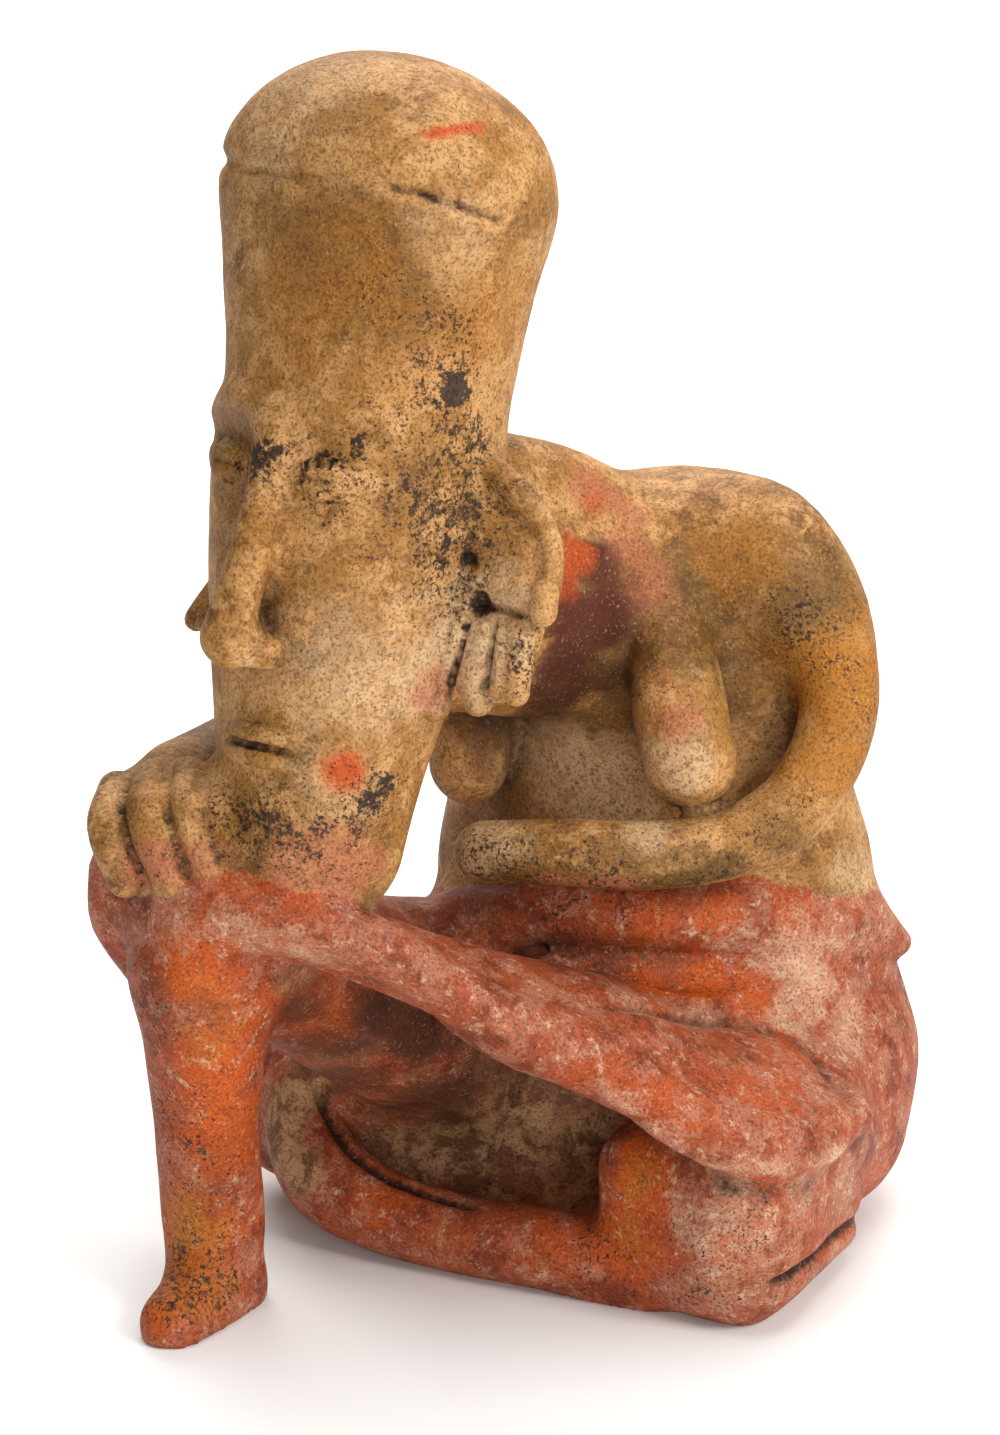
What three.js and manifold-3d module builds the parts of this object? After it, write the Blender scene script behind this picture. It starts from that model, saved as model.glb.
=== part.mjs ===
import * as THREE from "three";
import { MarchingCubes } from "three/addons/objects/MarchingCubes.js";
import { SimplifyModifier } from "three/addons/modifiers/SimplifyModifier.js";
import { mergeVertices } from "three/addons/utils/BufferGeometryUtils.js";
import Module from "manifold-3d";

// A seated woman in hand-built, fired clay, her chin on her raised right knee and her left arm across her waist.
// Millimetres, +Z up, the display front towards -Y, the flat underside on Z = 0.
// The clay is one smooth body: every limb is a chain of joints [x, y, z, radius], the head, chest and lap are
// lofts, and each is pressed into the rest over a named fillet. Angles are degrees turned to the viewer's left.

const headTurn = 38;
const headBase = [-58.5, -66, 134];
const headAxis = [25.5, 42, 234];
const faceHeight = 204;
const eyeLevel = faceHeight * 0.6;
const browLevel = (faceHeight * 2) / 3;
const noseLevel = faceHeight / 3;
const mouthLevel = noseLevel * 0.64;
const eyeGap = 18;
const chestTurn = 18;
const kneeTurn = 29;
const cellCount = 160;
const cellSize = 2.5;
const triangleCount = 9800;

const dot = (a, b) => a[0] * b[0] + a[1] * b[1] + a[2] * b[2];
const unit = (a) => a.map((v) => v / Math.hypot(...a));
const cross = (a, b) => [a[1] * b[2] - a[2] * b[1], a[2] * b[0] - a[0] * b[2], a[0] * b[1] - a[1] * b[0]];
const facing = (turn) => [-Math.sin((turn * Math.PI) / 180), -Math.cos((turn * Math.PI) / 180), 0];

// Two bodies pressed together with a fillet k, and one body cut from another with its edge eased by k.
function press(a, b, k) {
  const h = Math.max(k - Math.abs(a - b), 0) / k;
  return Math.min(a, b) - (h * h * k) / 4;
}
function carve(a, b, k) {
  return -press(-a, b, k);
}

// A cubic through four stations, tangent to the chords, for a value between the middle two.
function cubic(a, b, c, d, t) {
  const m = (c - a) / 2;
  const n = (d - b) / 2;
  return (((2 * b - 2 * c + m + n) * t + 3 * c - 3 * b - 2 * m - n) * t + m) * t + b;
}

// A rolled coil of clay through its joints.
function coil(joints, steps = 3) {
  const line = [];
  for (let i = 0; i < joints.length - 1; i++) {
    const [a, b, c, d] = [-1, 0, 1, 2].map((o) => joints[Math.min(Math.max(i + o, 0), joints.length - 1)]);
    for (let s = 0; s < steps; s++) line.push(b.map((v, n) => cubic(a[n], v, c[n], d[n], s / steps)));
  }
  line.push(joints[joints.length - 1]);
  const low = [0, 1, 2].map((n) => Math.min(...line.map((q) => q[n] - q[3])));
  const high = [0, 1, 2].map((n) => Math.max(...line.map((q) => q[n] + q[3])));
  return (p) => {
    const away = Math.hypot(...p.map((v, n) => Math.max(low[n] - v, 0, v - high[n])));
    if (away > 15) return away;
    let best = Infinity;
    for (let i = 0; i < line.length - 1; i++) {
      const a = line[i];
      const b = line[i + 1];
      const ex = b[0] - a[0];
      const ey = b[1] - a[1];
      const ez = b[2] - a[2];
      const qx = p[0] - a[0];
      const qy = p[1] - a[1];
      const qz = p[2] - a[2];
      const length = Math.sqrt(ex * ex + ey * ey + ez * ez);
      const slope = (b[3] - a[3]) / length;
      const along = (qx * ex + qy * ey + qz * ez) / length;
      const side = Math.sqrt(Math.max(0, qx * qx + qy * qy + qz * qz - along * along));
      const lean = slope / Math.sqrt(Math.max(0.2, 1 - slope * slope));
      const t = Math.min(1, Math.max(0, (along + side * lean) / length));
      best = Math.min(best, Math.hypot(side, along - t * length) - a[3] - t * (b[3] - a[3]));
    }
    return best;
  };
}

// A ball of clay with radii [across, front to back, up], turned.
function ball(centre, radii, turn = 0) {
  const f = facing(turn);
  return (p) => {
    const d = p.map((v, n) => v - centre[n]);
    const q = [-f[1] * d[0] + f[0] * d[1], dot(f, d), d[2]];
    const k0 = Math.hypot(...q.map((v, n) => v / radii[n]));
    const k1 = Math.hypot(...q.map((v, n) => v / radii[n] ** 2));
    return k1 < 1e-9 ? -Math.min(...radii) : (k0 * (k0 - 1)) / k1;
  };
}

// A block with half sizes [across, front to back, up] and rounded edges, turned.
function block(centre, half, edge, turn = 0) {
  const f = facing(turn);
  return (p) => {
    const d = p.map((v, n) => v - centre[n]);
    const q = [-f[1] * d[0] + f[0] * d[1], dot(f, d), d[2]].map((v, n) => Math.abs(v) - half[n] + edge);
    return Math.min(Math.max(...q), 0) + Math.hypot(...q.map((v) => Math.max(v, 0))) - edge;
  };
}

// A loft along an axis. Its stations are [height, half width, front, back], its sections are rounded squares, and
// both its ends are domes, the lower one between domes[0] and domes[1], the upper one between domes[2] and domes[3].
function loft(base, axis, turn, stations, domes, power) {
  const up = unit(axis);
  const ahead = facing(turn);
  const front = unit(ahead.map((v, n) => v - dot(ahead, up) * up[n]));
  const side = cross(up, front);
  const widest = 1.08 * Math.max(...stations.map((s) => Math.max(s[1], s[2], s[3])));
  const section = (w) => {
    const last = stations.length - 1;
    if (w <= stations[0][0]) return stations[0].slice(1);
    if (w >= stations[last][0]) return stations[last].slice(1);
    let i = 0;
    while (stations[i + 1][0] < w) i++;
    const [a, b, c, d] = [-1, 0, 1, 2].map((o) => stations[Math.min(Math.max(i + o, 0), last)]);
    const t = (w - b[0]) / (c[0] - b[0]);
    const before = (2 * (c[0] - b[0])) / (c[0] - a[0]);
    const after = (2 * (c[0] - b[0])) / (d[0] - b[0]);
    return [1, 2, 3].map((n) =>
      cubic(c[n] - (c[n] - a[n]) * before, b[n], c[n], b[n] + (d[n] - b[n]) * after, t));
  };
  const shape = (u, v, w) => {
    const [width, ahead, behind] = section(w);
    const round = (Math.abs(u) / width) ** power + (Math.abs(v) / (v > 0 ? ahead : behind)) ** power;
    const dome = Math.max(0, (w - domes[2]) / (domes[3] - domes[2]), (domes[1] - w) / (domes[1] - domes[0]));
    return (round ** (2.2 / power) + dome ** 2.2) ** (1 / 2.2) - 1;
  };
  const local = (p) => {
    const d = p.map((v, n) => v - base[n]);
    return [dot(d, side), dot(d, front), dot(d, up)];
  };
  const at = (u, v, w) => base.map((b, n) => b + u * side[n] + v * front[n] + w * up[n]);
  const skin = (u, w) => {
    const [width, ahead] = section(w);
    return ahead * Math.max(0, 1 - (Math.abs(u) / width) ** power) ** (1 / power);
  };
  const reach = (p) => {
    const [u, v, w] = local(p);
    const away = Math.max(Math.hypot(u, v) - widest, w - domes[3], domes[0] - w);
    if (away > 15) return away;
    const here = shape(u, v, w);
    const slope = [shape(u + 0.5, v, w), shape(u, v + 0.5, w), shape(u, v, w + 0.5)].map((s) => (s - here) * 2);
    return here / Math.max(0.008, Math.hypot(...slope));
  };
  return { reach, local, at, skin };
}

// Head: a tall flattened crown, narrow at the temples, over a long face. The face is a plain one on the canon of
// three equal thirds from chin to cap: brow, foot of the nose and chin a third apart, eyes one eye's width apart.
const head = loft(headBase, headAxis, headTurn, [
  [-10, 21, 22, 14],
  [4, 25, 29, 16],
  [20, 27.5, 32, 18],
  [40, 30.5, 34, 22],
  [65, 36, 36, 29],
  [92, 40, 38, 36],
  [120, 41.5, 39, 38],
  [145, 41, 38, 38],
  [175, 45, 39, 40],
  [200, 50, 42, 43],
  [225, 50, 42, 43],
  [245, 47, 40, 41],
], [-12, 14, 194, 239], 2.2);
const onHead = (u, v, w, r) => [...head.at(u, v, w), r];
const onFace = (u, w, out, r) => onHead(u, head.skin(u, w) + out, w, r);
const sides = [-1, 1];
const nose = coil([
  onFace(0, browLevel + 2, -1, 4),
  onFace(0, (browLevel + noseLevel) / 2, 6, 5.5),
  onFace(0, noseLevel + 8, 14, 7.5),
]);
const wings = sides.map((s) => coil([onHead(s * 2, 48, noseLevel + 6, 6), onHead(s * 7.5, 42, noseLevel + 4, 4.5)]));
const brows = sides.map((s) => coil([
  onFace(s * 3, browLevel, -1, 4),
  onFace(s * eyeGap, browLevel + 5, -1, 3.6),
  onFace(s * 33, browLevel - 2, -2, 3),
]));
const eyes = sides.map((s) => coil([
  onFace(s * (eyeGap - 8), eyeLevel, -2.4, 3.4),
  onFace(s * eyeGap, eyeLevel, -2.6, 5.6),
  onFace(s * (eyeGap + 8), eyeLevel, -2.8, 3.4),
]));
const lips = [[mouthLevel + 2.6, 2.7], [mouthLevel - 3.4, 3.1]].map(([w, r]) => coil([
  onFace(-12, w, -0.8, 1.6),
  onFace(0, w + 1, 0.6, r),
  onFace(12, w, -0.8, 1.6),
]));
const chin = ball(head.at(0, 25, 14), [12, 8, 10], headTurn);
// Each ear is a rim, its bowl, a bar through it and a row of flat bobs that hang on a plate below the bar.
// The numbers are places on the head (aside, forward, up) and a radius. The right ear lies closer to the head.
const ear = {
  rim: [[40, -4, 128, 6], [54, -6, 122, 4.2], [62.5, -8, 112, 4], [64.8, -8, 102, 4], [64.5, -8, 96, 4]],
  shell: [[38, -6, 116, 9], [56, -8, 109, 5]],
  bowl: [[38, -6, 108, 9], [57, -8, 101, 5.5]],
  plate: [[44, -5, 90, 6], [60, -6, 88, 5], [59, -6, 74, 4.4]],
  bar: [[44, -3, 98, 4.6], [64, -4, 95, 4.8], [67.4, -4, 94, 5.2]],
  bobs: [
    [[40.5, -1, 83, 4.4], [37, -1, 68, 4.4], [35.5, -1, 60, 4.6]],
    [[48.5, -2.4, 84, 4.4], [47.5, -2.4, 70, 4.6], [49.5, -2.4, 63, 4.4]],
    [[58.2, -4, 84, 5.6], [58.6, -4, 69, 6]],
  ],
};
const closeEar = { root: 38, above: 0.35, below: 0.85, from: 85, to: 67 };
const closer = (u, w) => {
  const down = Math.min(1, Math.max(0, (closeEar.from - w) / (closeEar.from - closeEar.to)));
  return closeEar.root + (u - closeEar.root) * (closeEar.above + (closeEar.below - closeEar.above) * down);
};
const ears = sides.map((s) => {
  const shape = (joints) => coil(joints.map(([u, v, w, r]) => onHead(s > 0 ? u : -closer(u, w), v, w, r)));
  return {
    rim: shape(ear.rim),
    shell: shape(ear.shell),
    bowl: shape(ear.bowl),
    plate: shape(ear.plate),
    bar: shape(ear.bar),
    bobs: ear.bobs.map(shape),
  };
});
const nape = coil([onHead(0, -26, 122, 14), [8.5, 2, 229, 17], [21.5, 12, 212, 22]]);
const neck = coil([onHead(0, -16, 96, 25), [12.5, 2, 207, 26], [30.5, 16, 201, 29], [43, 24, 197, 30]]);
const throat = coil([onHead(4, -10, 70, 18), [8.5, 0, 186, 24], [34.5, 20, 176, 30]]);

// Chest, arms and the hand that lies on the knee.
const chest = loft([44.5, 34, 60], [-8, -14, 162], chestTurn, [
  [0, 72, 50, 48],
  [30, 70, 50, 46],
  [50, 68, 42, 44],
  [75, 62, 34, 42],
  [100, 56, 27, 40],
  [130, 54, 25, 36],
  [162, 52, 26, 32],
], [-30, 20, 112, 166], 2.1);
const leftArm = coil([
  [52, 24, 205.5, 25], [71, 14, 207.5, 23], [86, 4, 194.5, 18], [94, -4, 179.5, 13.5], [95, -12, 166.5, 12],
  [89.5, -20, 152.5, 11.5], [77.5, -30, 140.5, 11], [59, -40, 135.5, 10.5], [35.5, -46, 135, 10.2],
  [12, -46, 136, 9.8], [-10, -38, 133, 9.2],
]);
const rightArm = coil([
  [-3.5, 32, 200, 24], [-29.5, 34, 190, 18], [-55.5, 22, 170, 13.5], [-73.5, 4, 158, 11.5], [-87.5, -22, 158, 10.5],
  [-99.5, -48, 160, 11],
]);
const breasts = [
  coil([[43, -4, 193, 13], [47, -21, 176, 14], [50.5, -30, 158, 14]]),
  coil([[-12, 24, 173, 9], [-13, 16, 159.5, 12], [-15, 10, 142.5, 12]]),
];
const palm = ball([-107, -56, 149], [17, 18, 17.5], 30);
const fingers = [
  [[-116, -58, 160, 6], [-117.5, -73, 154, 6.4], [-112.5, -79, 141, 5.6]],
  [[-105, -60, 164, 6.2], [-105.5, -76, 158, 6.8], [-99.5, -81.5, 142, 6]],
  [[-95, -62, 166, 5.4], [-94, -77, 160.5, 5.8], [-88.5, -83, 145.5, 5.2]],
  [[-86.5, -64, 167, 4.6], [-85.5, -77, 162, 4.9], [-80.5, -82.5, 149, 4.6]],
].map((joints) => coil(joints));

// Raised right leg, a plain club with a stub of a foot, and the thigh behind it.
const rightLeg = coil([
  [-103, -90, 4.5, 7], [-95.5, -78, 7.5, 10], [-91, -68, 15.5, 14], [-91, -64, 32, 15.5],
  [-92, -68, 60, 15.5], [-91.5, -72, 87.5, 18], [-91.5, -72, 109.5, 20],
]);
const heel = coil([[-100.5, -88, 4, 9], [-87, -64, 3.5, 12]]);
const rightThigh = coil([
  [-90.5, -68, 110.5, 21], [-73.5, -52, 108, 23], [-50.5, -24, 84, 28], [-17.5, 12, 60, 36], [24.5, 38, 50, 42],
]);

// Skirt: hips, belly roll, the lap stretched from knee to knee with its rolled hem, and the flap past the knee.
const hips = ball([34.5, 42, 42], [86, 52, 50], chestTurn);
const leftHip = coil([[91.5, 32, 60, 28], [92.5, 18, 40, 31], [90.5, 4, 28, 30]]);
const seat = block([16.5, 42, 20], [72, 44, 26], 26, chestTurn);
const backWall = coil([[-66.5, 12, 28, 23.5], [-50, 18, 38, 28], [-10.5, 18, 42, 31], [29.5, 10, 38, 31]]);
const floor = block([-3.5, -10, 4], [46, 30, 8], 7, 24);
const belly = coil([
  [-14.5, -6, 100, 8], [12.5, -15, 103, 10], [42.5, -20, 105.5, 11], [73.5, -12, 102.5, 10.5], [98.5, 4, 96, 9.5],
  [118, 21, 79.5, 4.5],
]);
const lowRoll = coil([[8, -28, 90, 6], [36, -28, 86.5, 8], [56, -25, 82, 8.5], [74, -18, 79, 8], [92, -7, 76, 6]]);
const fold = coil([
  [4, -28, 96, 2], [22, -31, 94.5, 3.5], [40, -33, 92.5, 4.5], [56, -32, 90, 4.5], [70, -28, 90, 4],
  [84, -21, 91, 3.2], [97, -11, 90, 2],
]);
const leftThigh = coil([[78.5, 18, 46, 38], [74.5, -14, 38, 36], [67, -42, 32, 31], [63.5, -64, 29, 26]]);
const leftKnee = block([62.5, -49, 27], [30, 36, 28], 14, kneeTurn);
const strap = loft([-77.5, -76, 132], [107, 16, -48], 0, [
  [-8, 9, 14, 12],
  [10, 9, 15, 11],
  [50, 8.5, 20, 12],
  [85, 9, 24, 15],
  [118, 11, 28, 22],
], [-12, 10, 100, 135], 2.4);
const lap = loft([-5.5, -60, 94], [100, 30, -45], 0, [
  [-5, 9, 30, 14],
  [25, 10.5, 32, 17],
  [55, 12.5, 42, 23],
  [85, 14, 44, 26],
  [110, 13, 34, 26],
], [-20, 5, 80, 118], 2.4);
const hem = coil([
  [-111.5, -60, 125, 8], [-100.5, -72, 130, 10], [-87, -84, 135, 10], [-62.5, -90, 133.5, 9], [-42, -92, 126, 8],
  [-22.5, -92, 113.5, 7.5], [0, -90, 98.5, 7], [23.5, -86, 85.5, 7], [46.5, -88, 69.5, 7.5],
  [72, -83, 57.5, 6.5], [99, -52, 54, 6],
]);
const flap = coil([[-118.5, -56, 134.5, 7], [-118, -54, 118, 7], [-109.5, -52, 102.5, 7]]);
// Folded left shin: a coil along the ground from the knee to the far hip, where the foot bends up.
const leftShin = coil([
  [39.5, -62, 7, 14], [12.5, -56, 11, 12.5], [-17.5, -44, 11, 12], [-39, -34, 13, 12.5],
  [-57.5, -22, 19, 14], [-66, -10, 29.5, 12], [-67.5, -2, 41, 9],
]);

// The cap is a little proud of the brow, over a drawn line that runs down towards the ear and dies out before it.
function cap(p) {
  const [u, v, w] = head.local(p);
  const line = faceHeight - 0.0035 * Math.max(0, u + 10) ** 2;
  const drawn = 1 / (1 + Math.exp((u - 34) / 4) + Math.exp(-v / 4));
  return drawn * (1.6 * Math.exp(-(((w - line) / 2.6) ** 2)) - 0.9 / (1 + Math.exp((line + 2 - w) / 2)));
}

function figure(p) {
  let upper = press(chest.reach(p), leftArm(p), 8);
  upper = press(press(upper, neck(p), 14), throat(p), 16);
  for (const breast of breasts) upper = press(upper, breast(p), 4);
  let lower = press(hips(p), seat(p), 12);
  for (const [part, fillet] of [
    [leftHip, 14], [belly, 6], [leftThigh, 14], [leftKnee, 14], [rightThigh, 14], [lowRoll, 5], [backWall, 10],
    [floor, 24], [strap.reach, 10], [lap.reach, 12], [rightLeg, 10], [heel, 8], [hem, 9], [flap, 8], [leftShin, 4],
  ]) lower = press(lower, part(p), fillet);
  lower = carve(lower, fold(p), 3);
  let body = press(press(upper, lower, 10), rightArm(p), 8);
  let face = head.reach(p);
  if (face < 12) face += cap(p);
  face = press(press(face, nape(p), 9), nose(p), 8);
  for (const part of [...wings, ...brows]) face = press(face, part(p), 5);
  for (const part of [...eyes, ...lips]) face = press(face, part(p), 1.5);
  face = press(face, chin(p), 6);
  for (const side of ears) {
    face = press(press(press(face, side.shell(p), 6), side.bowl(p), 6), side.rim(p), 3);
    face = press(press(face, side.plate(p), 4), side.bar(p), 3);
    for (const bob of side.bobs) face = press(face, bob(p), 2);
  }
  body = press(body, face, 7);
  let hand = palm(p);
  for (const finger of fingers) hand = press(hand, finger(p), 2.5);
  return Math.max(press(body, hand, 6), -p[2]);
}

// The skin of the body is drawn on a grid of cells. Blocks of cells that lie far from it are filled in one go.
const reach = (cellCount / 2) * cellSize;
const middle = [0, 0, reach - 4 * cellSize];
const clay = new THREE.MeshStandardMaterial({ color: 0xb5834f, roughness: 0.85, metalness: 0 });
const grid = new MarchingCubes(cellCount, clay, false, false, 220000);
const sample = (i, j, k) => [i, j, k].map((c, n) => middle[n] + (c - cellCount / 2) * cellSize);
grid.isolation = 0;
const step = 4;
for (let k = 0; k < cellCount; k += step) {
  for (let j = 0; j < cellCount; j += step) {
    for (let i = 0; i < cellCount; i += step) {
      const core = figure(sample(i + 1.5, j + 1.5, k + 1.5));
      const near = Math.abs(core) < 4 * cellSize;
      for (let n = 0; n < step ** 3; n++) {
        const c = [i + (n % step), j + (Math.floor(n / step) % step), k + Math.floor(n / step ** 2)];
        grid.field[c[0] + cellCount * (c[1] + cellCount * c[2])] = near ? -figure(sample(...c)) : -core;
      }
    }
  }
}
grid.update();

// Welded, with the triangles that have shrunk to a line left out.
function welded(geometry) {
  const merged = mergeVertices(geometry, 1e-3);
  const corners = merged.index.array;
  const kept = [];
  for (let i = 0; i < corners.length; i += 3) {
    const [a, b, c] = corners.slice(i, i + 3);
    if (a !== b && b !== c && c !== a) kept.push(a, b, c);
  }
  merged.setIndex(kept);
  return merged;
}
let surface = new THREE.BufferGeometry();
surface.setAttribute("position", new THREE.BufferAttribute(grid.positionArray.slice(0, grid.count * 3), 3));
surface.scale(reach, reach, reach);
surface.translate(...middle);
surface = welded(surface);
const spare = surface.attributes.position.count - triangleCount / 2;
surface = welded((await new SimplifyModifier().modify(surface, spare)).toNonIndexed());
surface.computeBoundingBox();
const middleOf = surface.boundingBox.getCenter(new THREE.Vector3());
surface.translate(-middleOf.x, -middleOf.y, 0);

// The underside is cut flat, and places where two folds of the clay only just touch are parted by a hair.
const wasm = await Module();
wasm.setup();
const solid = (geometry) => new wasm.Manifold(new wasm.Mesh({
  numProp: 3,
  vertProperties: geometry.attributes.position.array,
  triVerts: new Uint32Array(geometry.index.array),
}));
const ground = new THREE.BoxGeometry(600, 600, 60);
ground.deleteAttribute("normal");
ground.deleteAttribute("uv");
ground.translate(0, 0, -30);
const cut = solid(surface).subtract(solid(mergeVertices(ground))).getMesh();
const skin = new THREE.BufferGeometry();
skin.setAttribute("position", new THREE.BufferAttribute(cut.vertProperties.slice(), 3));
skin.setIndex(new THREE.BufferAttribute(cut.triVerts.slice(), 1));
skin.computeVertexNormals();
const places = new Map();
const spots = skin.attributes.position;
for (let i = 0; i < spots.count; i++) {
  const key = [spots.getX(i), spots.getY(i), spots.getZ(i)].map((v) => v.toFixed(2)).join();
  places.set(key, [...(places.get(key) || []), i]);
}
const hair = 0.05;
for (const group of places.values()) {
  if (group.length < 2) continue;
  for (const i of group) {
    const normal = new THREE.Vector3().fromBufferAttribute(skin.attributes.normal, i);
    const moved = new THREE.Vector3().fromBufferAttribute(spots, i).addScaledVector(normal, -hair);
    spots.setXYZ(i, moved.x, moved.y, Math.max(moved.z, 0));
  }
}

const figurine = new THREE.Mesh(skin, clay);
figurine.name = "seated_figure";
const part = new THREE.Group();
part.add(figurine);
export default part;
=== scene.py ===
import math

import bmesh
import bpy
import numpy as np
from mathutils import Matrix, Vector


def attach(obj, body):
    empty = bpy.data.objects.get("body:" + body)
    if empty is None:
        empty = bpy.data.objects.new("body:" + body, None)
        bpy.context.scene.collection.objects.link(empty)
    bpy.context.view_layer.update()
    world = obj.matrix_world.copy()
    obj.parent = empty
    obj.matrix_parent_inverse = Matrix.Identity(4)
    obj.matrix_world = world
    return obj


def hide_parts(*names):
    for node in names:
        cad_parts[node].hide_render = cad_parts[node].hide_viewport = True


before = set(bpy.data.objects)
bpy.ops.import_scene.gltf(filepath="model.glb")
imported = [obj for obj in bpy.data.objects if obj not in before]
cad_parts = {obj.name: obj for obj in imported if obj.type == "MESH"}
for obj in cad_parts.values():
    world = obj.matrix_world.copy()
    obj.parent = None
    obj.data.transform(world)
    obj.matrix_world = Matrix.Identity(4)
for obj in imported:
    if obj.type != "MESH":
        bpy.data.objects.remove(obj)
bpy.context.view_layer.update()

# The clay is worked in millimetres: +Z up, the display front towards -Y, turns in degrees to the viewer's
# left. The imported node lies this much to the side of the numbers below.
nodeShift = np.array([0.34, 0.44, 0.0])
nearby = 18  # further out than this a form's distance is only roughly known

head = {
    "turn": 38,
    "base": (-58.5, -66, 134),
    "axis": (25.5, 42, 234),
    "stations": [
        (-10, 21, 22, 14), (4, 25, 29, 16), (20, 27.5, 32, 18), (40, 30.5, 34, 22), (65, 36, 36, 29),
        (92, 40, 38, 36), (120, 41.5, 39, 38), (145, 41, 38, 38), (175, 45, 39, 40), (200, 50, 42, 43),
        (225, 50, 42, 43), (245, 47, 40, 41),
    ],
    "domes": (-12, 14, 194, 239),
    "power": 2.2,
    "faceHeight": 204,
    "eyeGap": 18,
}
eyeLevel = head["faceHeight"] * 0.6
browLevel = head["faceHeight"] * 2 / 3
noseLevel = head["faceHeight"] / 3
mouthLevel = noseLevel * 0.64


def facing(turn):
    return np.array([-math.sin(math.radians(turn)), -math.cos(math.radians(turn)), 0.0])


def pressed(a, b, fillet):
    h = np.maximum(fillet - np.abs(a - b), 0) / fillet
    return np.minimum(a, b) - h * h * fillet / 4


def carved(a, b, fillet):
    return -pressed(-a, b, fillet)


def cubic(a, b, c, d, t):
    m = (c - a) / 2
    n = (d - b) / 2
    return (((2 * b - 2 * c + m + n) * t + 3 * c - 3 * b - 2 * m - n) * t + m) * t + b


def coil(joints, steps=5):
    # a rolled coil through joints (x, y, z, radius)
    joints = [np.array(j, float) for j in joints]
    last = len(joints) - 1
    line = []
    for i in range(last):
        a, b, c, d = (joints[min(max(i + o, 0), last)] for o in (-1, 0, 1, 2))
        line += [cubic(a, b, c, d, s / steps) for s in range(steps)]
    line = np.array(line + [joints[last]])
    low = (line[:, :3] - line[:, 3:]).min(0)
    high = (line[:, :3] + line[:, 3:]).max(0)

    def reach(p):
        found = np.linalg.norm(np.maximum(np.maximum(low - p, p - high), 0), axis=1)
        near = np.flatnonzero(found <= nearby)
        q = p[near]
        best = np.full(len(near), 1e9)
        for a, b in zip(line[:-1], line[1:]):
            e = b[:3] - a[:3]
            length = math.sqrt(e @ e)
            slope = (b[3] - a[3]) / length
            d = q - a[:3]
            along = d @ e / length
            side = np.sqrt(np.maximum(0, (d * d).sum(1) - along ** 2))
            t = np.clip((along + side * slope / math.sqrt(max(0.2, 1 - slope * slope))) / length, 0, 1)
            best = np.minimum(best, np.hypot(side, along - t * length) - a[3] - t * (b[3] - a[3]))
        found[near] = best
        return found
    return reach


def turned(p, centre, turn):
    f = facing(turn)
    d = p - np.array(centre, float)
    return np.stack([-f[1] * d[:, 0] + f[0] * d[:, 1], d @ f, d[:, 2]], 1)


def ball(centre, radii, turn=0):
    def reach(p):
        q = turned(p, centre, turn)
        k0 = np.linalg.norm(q / radii, axis=1)
        k1 = np.linalg.norm(q / np.square(radii), axis=1)
        return k0 * (k0 - 1) / np.maximum(k1, 1e-9)
    return reach


def block(centre, half, edge, turn=0):
    def reach(p):
        q = np.abs(turned(p, centre, turn)) - np.array(half) + edge
        return np.minimum(q.max(1), 0) + np.linalg.norm(np.maximum(q, 0), axis=1) - edge
    return reach


class Loft:
    # rounded square sections (height, half width, front, back) along an axis, with domed ends
    domeRoundness = 2.2

    def __init__(self, base, axis, turn, stations, domes, power):
        self.base = np.array(base, float)
        self.up = np.array(axis, float) / np.linalg.norm(axis)
        ahead = facing(turn)
        self.front = ahead - ahead @ self.up * self.up
        self.front /= np.linalg.norm(self.front)
        self.side = np.cross(self.up, self.front)
        self.stations = np.array(stations, float)
        self.domes = domes
        self.power = power

    def section(self, w):
        s = self.stations
        last = len(s) - 1
        w = np.clip(w, s[0, 0], s[last, 0])
        i = np.clip(np.searchsorted(s[:, 0], w) - 1, 0, last - 1)
        a, b, c, d = (s[np.clip(i + o, 0, last)] for o in (-1, 0, 1, 2))
        gap = c[:, 0] - b[:, 0]
        t = ((w - b[:, 0]) / gap)[:, None]
        before = (2 * gap / (c[:, 0] - a[:, 0]))[:, None]
        after = (2 * gap / (d[:, 0] - b[:, 0]))[:, None]
        return cubic(c - (c - a) * before, b, c, b + (d - b) * after, t)[:, 1:]

    def shape(self, u, v, w):
        width, ahead, behind = self.section(w).T
        low, lowFull, highFull, high = self.domes
        flat = (np.abs(u) / width) ** self.power + (np.abs(v) / np.where(v > 0, ahead, behind)) ** self.power
        dome = np.maximum(0, np.maximum((w - highFull) / (high - highFull), (lowFull - w) / (lowFull - low)))
        flat = flat ** (self.domeRoundness / self.power)
        return (flat + dome ** self.domeRoundness) ** (1 / self.domeRoundness) - 1

    def local(self, p):
        d = p - self.base
        return d @ self.side, d @ self.front, d @ self.up

    def at(self, u, v, w):
        return self.base + u * self.side + v * self.front + w * self.up

    def skin(self, u, w):
        width, ahead, _ = self.section(np.array([float(w)]))[0]
        return ahead * max(0, 1 - (abs(u) / width) ** self.power) ** (1 / self.power)

    def reach(self, p):
        u, v, w = self.local(p)
        found = np.maximum(np.hypot(u, v) - 1.08 * self.stations[:, 1:].max(),
                           np.maximum(w - self.domes[3], self.domes[0] - w))
        near = np.flatnonzero(found <= nearby)
        u, v, w = u[near], v[near], w[near]
        here = self.shape(u, v, w)
        slope = np.stack([self.shape(u + 0.5, v, w), self.shape(u, v + 0.5, w), self.shape(u, v, w + 0.5)])
        found[near] = here / np.maximum(0.008, np.linalg.norm((slope - here) * 2, axis=0))
        return found


headLoft = Loft(head["base"], head["axis"], head["turn"], head["stations"], head["domes"], head["power"])


def onHead(u, v, w, r):
    return [*headLoft.at(u, v, w), r]


def onFace(u, w, out, r):
    return onHead(u, headLoft.skin(u, w) + out, w, r)


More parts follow.
